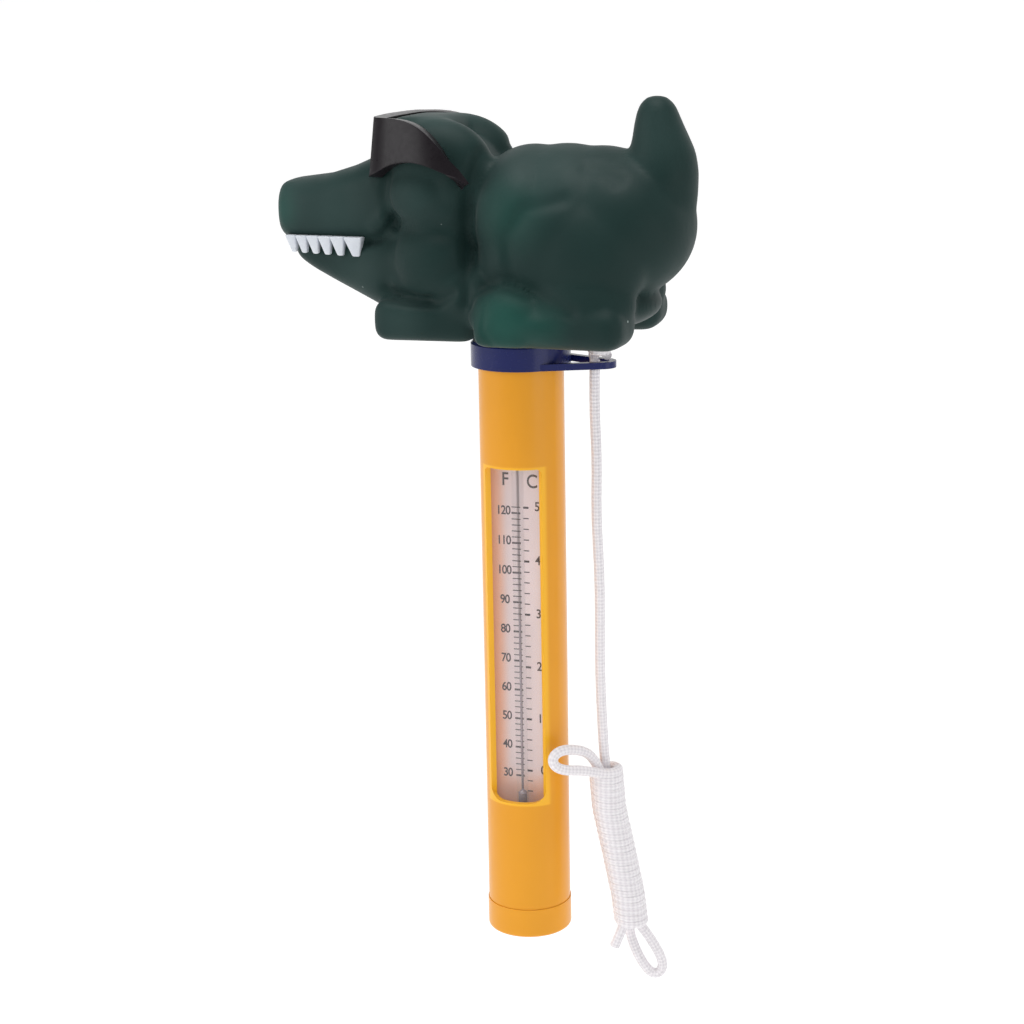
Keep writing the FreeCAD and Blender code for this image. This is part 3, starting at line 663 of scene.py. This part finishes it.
def moulded_group():
    """Shared by every moulding: slow tone drift, fine mottling and a faint surface bump."""
    group = bpy.data.node_groups.new("moulded_surface", "ShaderNodeTree")
    for name, value in (("Drift Scale", 60.0), ("Fine Scale", 900.0)):
        group.interface.new_socket(name, in_out="INPUT", socket_type="NodeSocketFloat").default_value = value
    for name in ("Drift", "Fine"):
        group.interface.new_socket(name, in_out="OUTPUT", socket_type="NodeSocketFloat")
    entry = group.nodes.new("NodeGroupInput")
    leave = group.nodes.new("NodeGroupOutput")
    place = group.nodes.new("ShaderNodeTexCoord")
    for source, target, detail in (("Drift Scale", "Drift", 3.0), ("Fine Scale", "Fine", 4.0)):
        noise = node(group, "ShaderNodeTexNoise", {"Detail": detail})
        group.links.new(place.outputs["Object"], noise.inputs["Vector"])
        group.links.new(entry.outputs[source], noise.inputs["Scale"])
        group.links.new(noise.outputs["Fac"], leave.inputs[target])
    return group


MOULDED = moulded_group()


def moulded(tree, drift=60.0, fine=900.0):
    made = tree.nodes.new("ShaderNodeGroup")
    made.node_tree = MOULDED
    made.inputs["Drift Scale"].default_value = drift
    made.inputs["Fine Scale"].default_value = fine
    return made


def bump(tree, shader, height, strength, distance):
    made = node(tree, "ShaderNodeBump", {"Strength": strength, "Distance": distance * MM})
    tree.links.new(height, made.inputs["Height"])
    tree.links.new(made.outputs["Normal"], shader.inputs["Normal"])
    return made


def spread(tree, value, low, high, to_low=0.0, to_high=1.0):
    made = node(tree, "ShaderNodeMapRange", {"From Min": low, "From Max": high, "To Min": to_low,
                                             "To Max": to_high}, interpolation_type="SMOOTHSTEP")
    tree.links.new(value, made.inputs["Value"])
    return made.outputs["Result"]


def axes(tree, source="Object"):
    """The X, Y and Z of a texture coordinate, each as its own output."""
    where = tree.nodes.new("ShaderNodeTexCoord")
    split = tree.nodes.new("ShaderNodeSeparateXYZ")
    tree.links.new(where.outputs[source], split.inputs[0])
    return split.outputs


def times(tree, first, second):
    """The product of two outputs."""
    made = node(tree, "ShaderNodeMath", operation="MULTIPLY")
    tree.links.new(first, made.inputs[0])
    tree.links.new(second, made.inputs[1])
    return made.outputs[0]


def near_spot(tree, place, radius):
    """A soft mask about a spot on either side of the crocodile, in millimetres."""
    split = axes(tree)
    side = node(tree, "ShaderNodeMath", operation="ABSOLUTE")
    join = tree.nodes.new("ShaderNodeCombineXYZ")
    gap = node(tree, "ShaderNodeVectorMath", operation="DISTANCE")
    tree.links.new(split["Y"], side.inputs[0])
    tree.links.new(split["X"], join.inputs["X"])
    tree.links.new(side.outputs[0], join.inputs["Y"])
    tree.links.new(split["Z"], join.inputs["Z"])
    tree.links.new(join.outputs[0], gap.inputs[0])
    gap.inputs[1].default_value = Vector((place[0], abs(place[1]), place[2])) * MM
    return spread(tree, gap.outputs["Value"], radius * MM, 0.0)


def vinyl():
    """Matte vinyl with pale specks, and lighter spots on what stands out and faces up, partly airbrushed
    grey and partly painted highlight; elsewhere it keeps the darker base tone.
    """
    item, tree, shader = material("crocodile_vinyl", 0.6, Specular_IOR_Level=0.16, Sheen_Weight=0.06,
                                  Sheen_Roughness=0.5)
    surface = moulded(tree, 70.0, 1600.0)
    colour = mix_colour(tree, surface.outputs["Drift"], (0.005, 0.0215, 0.0195), (0.009, 0.030, 0.027))
    # Painted highlight: these spot colours lighten the nose, snout, paw, toes, thigh, back, tail and head.
    # They are partly airbrushed grey and partly painted highlight where the light falls.
    highlight_green, airbrush_and_highlight_grey = (0.010, 0.068, 0.053), (0.030, 0.060, 0.056)
    airbrush_and_highlight_spots = [((-61, 9, 27), 13, 0.8, airbrush_and_highlight_grey), ((-61, 9, 25), 8, 0.6, highlight_green), ((-46, 12, 25), 15, 0.55, airbrush_and_highlight_grey),
             ((4, 25, 0), 13, 1.0, highlight_green), ((14, 25, -1), 9, 0.5, highlight_green), ((10, 16, 38), 22, 0.5, airbrush_and_highlight_grey),
             ((4, 22, 26), 14, 0.45, highlight_green), ((-20, 19, 29), 9, 0.4, airbrush_and_highlight_grey), ((-26, 18, -1), 10, 0.6, airbrush_and_highlight_grey),
             ((36, 6, 44), 14, 0.35, airbrush_and_highlight_grey), ((-40, 10, 9), 12, 0.4, airbrush_and_highlight_grey), ((-18, 10, 48), 11, 0.6, airbrush_and_highlight_grey)]
    for place, radius, share, shade in airbrush_and_highlight_spots:
        mask = near_spot(tree, place, radius)
        strength = node(tree, "ShaderNodeMath", {1: share}, operation="MULTIPLY")
        tree.links.new(mask, strength.inputs[0])
        colour = mix_colour(tree, strength.outputs[0], colour, shade)
    speckle = node(tree, "ShaderNodeTexVoronoi", {"Scale": 210.0})
    where = tree.nodes.new("ShaderNodeTexCoord")
    tree.links.new(where.outputs["Object"], speckle.inputs["Vector"])
    dots = spread(tree, speckle.outputs["Distance"], 0.075, 0.045)
    chance = tree.nodes.new("ShaderNodeSeparateColor")
    tree.links.new(speckle.outputs["Color"], chance.inputs[0])
    rare = spread(tree, chance.outputs[0], 0.90, 0.97)
    colour = mix_colour(tree, times(tree, dots, rare), colour, (0.35, 0.42, 0.4))
    tree.links.new(colour, shader.inputs["Base Color"])
    tree.links.new(spread(tree, surface.outputs["Drift"], 0.3, 0.7, 0.5, 0.66), shader.inputs["Roughness"])
    bump(tree, shader, surface.outputs["Fine"], 0.25, 0.05)
    return item


def gloss_black():
    item, tree, shader = material("gloss_black", 0.34, Specular_IOR_Level=0.12, Coat_Weight=0.08,
                                  Coat_Roughness=0.2)
    surface = moulded(tree, 120.0, 900.0)
    colour = mix_colour(tree, surface.outputs["Drift"], (0.007, 0.0055, 0.007), (0.014, 0.011, 0.014))
    tree.links.new(colour, shader.inputs["Base Color"])
    tree.links.new(spread(tree, surface.outputs["Fine"], 0.3, 0.7, 0.27, 0.38), shader.inputs["Roughness"])
    return item


def enamel():
    item, tree, shader = material("teeth_paint", 0.3)
    surface = moulded(tree, 300.0, 1500.0)
    colour = mix_colour(tree, surface.outputs["Drift"], (0.60, 0.64, 0.70), (0.70, 0.73, 0.78))
    tree.links.new(colour, shader.inputs["Base Color"])
    tree.links.new(spread(tree, surface.outputs["Fine"], 0.3, 0.7, 0.25, 0.4), shader.inputs["Roughness"])
    bump(tree, shader, surface.outputs["Fine"], 0.2, 0.05)
    return item


def gloss_plastic(name, dark, light, roughness, fine=1100.0, **sockets):
    item, tree, shader = material(name, roughness, **sockets)
    surface = moulded(tree, 45.0, fine)
    colour = mix_colour(tree, surface.outputs["Drift"], dark, light)
    tree.links.new(colour, shader.inputs["Base Color"])
    tree.links.new(spread(tree, surface.outputs["Fine"], 0.3, 0.7, roughness - 0.02, roughness + 0.03),
                   shader.inputs["Roughness"])
    return item


def window_glow(item):
    """Painted highlight: the rim round the window is painted a brighter yellow, for the light that its thin
    plastic passes and its edges catch.
    """
    tree = item.node_tree
    shader = tree.nodes["Principled BSDF"]
    plain = shader.inputs["Base Color"].links[0].from_socket
    split = axes(tree)
    masks = []
    for axis, middle, half, soft in (("X", 0.0, 8.0, 0.8), ("Z", -85.25, 45.5, 0.5), ("Y", -11.0, 9.0, 2.0)):
        gap = node(tree, "ShaderNodeMath", {1: middle * MM}, operation="SUBTRACT")
        size = node(tree, "ShaderNodeMath", operation="ABSOLUTE")
        tree.links.new(split[axis], gap.inputs[0])
        tree.links.new(gap.outputs[0], size.inputs[0])
        masks.append(spread(tree, size.outputs[0], (half + soft) * MM, half * MM))
    # Painted highlight: a brighter yellow is mixed into the base colour round the window's edges.
    rim_highlight = times(tree, times(tree, masks[0], masks[1]), masks[2])
    tree.links.new(mix_colour(tree, rim_highlight, plain, (0.98, 0.50, 0.02)), shader.inputs["Base Color"])


def card_paper():
    """Pale card with a faint painted glow, and a painted warm reflection towards its left edge and its foot,
    where the tube's edges throw their colour on it.
    """
    # Painted light: the faint emission makes the card glow a little, standing in for the light that the tube
    # keeps off it.
    item, tree, shader = material("card_stock", 0.55, Emission_Color=(1.0, 0.78, 0.76, 1),
                                  Emission_Strength=0.1)
    surface = moulded(tree, 80.0, 2600.0)
    colour = mix_colour(tree, surface.outputs["Drift"], (0.78, 0.66, 0.67), (0.84, 0.72, 0.73))
    split = axes(tree)
    # Painted reflection: the card turns orange towards its left edge and its foot, as if lit by the yellow
    # walls of the window.
    for axis, start, full in (("X", -3.2, -6.8), ("Z", -122.0, -131.0)):
        painted_warm_reflection = spread(tree, split[axis], start * MM, full * MM)
        colour = mix_colour(tree, painted_warm_reflection, colour, (0.92, 0.44, 0.22))
    tree.links.new(colour, shader.inputs["Base Color"])
    bump(tree, shader, surface.outputs["Fine"], 0.2, 0.02)
    return item


def ink():
    item, tree, shader = material("scale_ink", 0.5)
    surface = moulded(tree, 900.0, 3000.0)
    colour = mix_colour(tree, surface.outputs["Fine"], (0.015, 0.008, 0.012), (0.05, 0.03, 0.04))
    tree.links.new(colour, shader.inputs["Base Color"])
    return item


def clear(name, roughness, alpha, tint):
    item, tree, shader = material(name, roughness, Specular_IOR_Level=0.6)
    surface = moulded(tree, 60.0, 500.0)
    colour = mix_colour(tree, surface.outputs["Drift"], tint, tuple(min(1.0, part * 1.04) for part in tint))
    tree.links.new(colour, shader.inputs["Base Color"])
    tree.links.new(spread(tree, surface.outputs["Fine"], 0.2, 0.8, roughness * 0.7, roughness * 1.3),
                   shader.inputs["Roughness"])
    tree.links.new(spread(tree, surface.outputs["Drift"], 0.2, 0.8, alpha * 0.9, alpha * 1.1),
                   shader.inputs["Alpha"])
    return item


def braid(length):
    """Braided nylon: two sets of strands that cross, from the tube's own UV map."""
    item, tree, shader = material("braided_nylon", 0.75, Sheen_Weight=0.8, Sheen_Roughness=0.5)
    split = axes(tree, "UV")
    pitch = 0.0019
    waves = []
    for sign in (1, -1):
        around = node(tree, "ShaderNodeMath", {1: 5.0 * 2 * math.pi}, operation="MULTIPLY")
        along = node(tree, "ShaderNodeMath", {1: sign * length / pitch * 2 * math.pi}, operation="MULTIPLY")
        total = node(tree, "ShaderNodeMath", operation="ADD")
        wave = node(tree, "ShaderNodeMath", operation="SINE")
        tree.links.new(split[AROUND], around.inputs[0])
        tree.links.new(split[ALONG], along.inputs[0])
        tree.links.new(around.outputs[0], total.inputs[0])
        tree.links.new(along.outputs[0], total.inputs[1])
        tree.links.new(total.outputs[0], wave.inputs[0])
        waves.append(wave.outputs[0])
    height = spread(tree, times(tree, waves[0], waves[1]), -0.9, 0.9)
    surface = moulded(tree, 200.0, 3500.0)
    # Painted shade: the grooves between the strands are painted darker and the crowns of the strands
    # lighter.
    shade = mix_colour(tree, height, (0.66, 0.62, 0.66), (0.99, 0.96, 0.98))
    colour = mix_colour(tree, surface.outputs["Fine"], shade, (0.95, 0.91, 0.94))
    tree.links.new(colour, shader.inputs["Base Color"])
    bump(tree, shader, height, 0.7, 0.18)
    return item


def dress(node_name, finish):
    """Give a carried CAD node its finish."""
    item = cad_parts[node_name]
    item.data.materials.clear()
    item.data.materials.append(finish)


def finishes():
    yellow = gloss_plastic("stem_abs", (0.80, 0.325, 0.008), (0.86, 0.360, 0.012), 0.3,
                           Specular_IOR_Level=0.3, Coat_Weight=0.1, Coat_Roughness=0.15)
    for name in ("stem_tube", "bottom_cap", "top_plug"):
        dress(name, yellow)
    window_glow(yellow)
    dress("collar_ring", gloss_plastic("collar_abs", (0.005, 0.010, 0.088), (0.008, 0.016, 0.120), 0.25,
                                       Specular_IOR_Level=0.22, Coat_Weight=0.15, Coat_Roughness=0.12))
    dress("scale_card", card_paper())
    dress("window_liner", clear("liner_clear", 0.06, 0.06, (0.95, 0.88, 0.89)))
    dress("glass_tube", clear("stick_glass", 0.04, 0.035, (0.92, 0.78, 0.79)))
    spirit = gloss_plastic("spirit_dye", (0.27, 0.22, 0.25), (0.34, 0.28, 0.31), 0.2)
    spirit_thread().data.materials.append(spirit)
    for name in ("spirit_bulb", "spirit_meniscus"):
        dress(name, spirit)
    rubber = gloss_plastic("seal_rubber", (0.012, 0.012, 0.012), (0.022, 0.022, 0.022), 0.6)
    for name in ("top_plug_seal", "bottom_cap_seal", "glass_seat"):
        dress(name, rubber)
    dress("top_cushion", gloss_plastic("foam", (0.7, 0.7, 0.69), (0.82, 0.82, 0.8), 0.85))
    steel = gloss_plastic("ballast_steel", (0.20, 0.20, 0.21), (0.30, 0.30, 0.31), 0.45)
    steel.node_tree.nodes["Principled BSDF"].inputs["Metallic"].default_value = 1.0
    dress("ballast_weight", steel)


# ---------------------------------------------------------------- build
camera()
cord()
floor()
studio()
crocodile()
sunglasses()
teeth()
scale_print()
finishes()
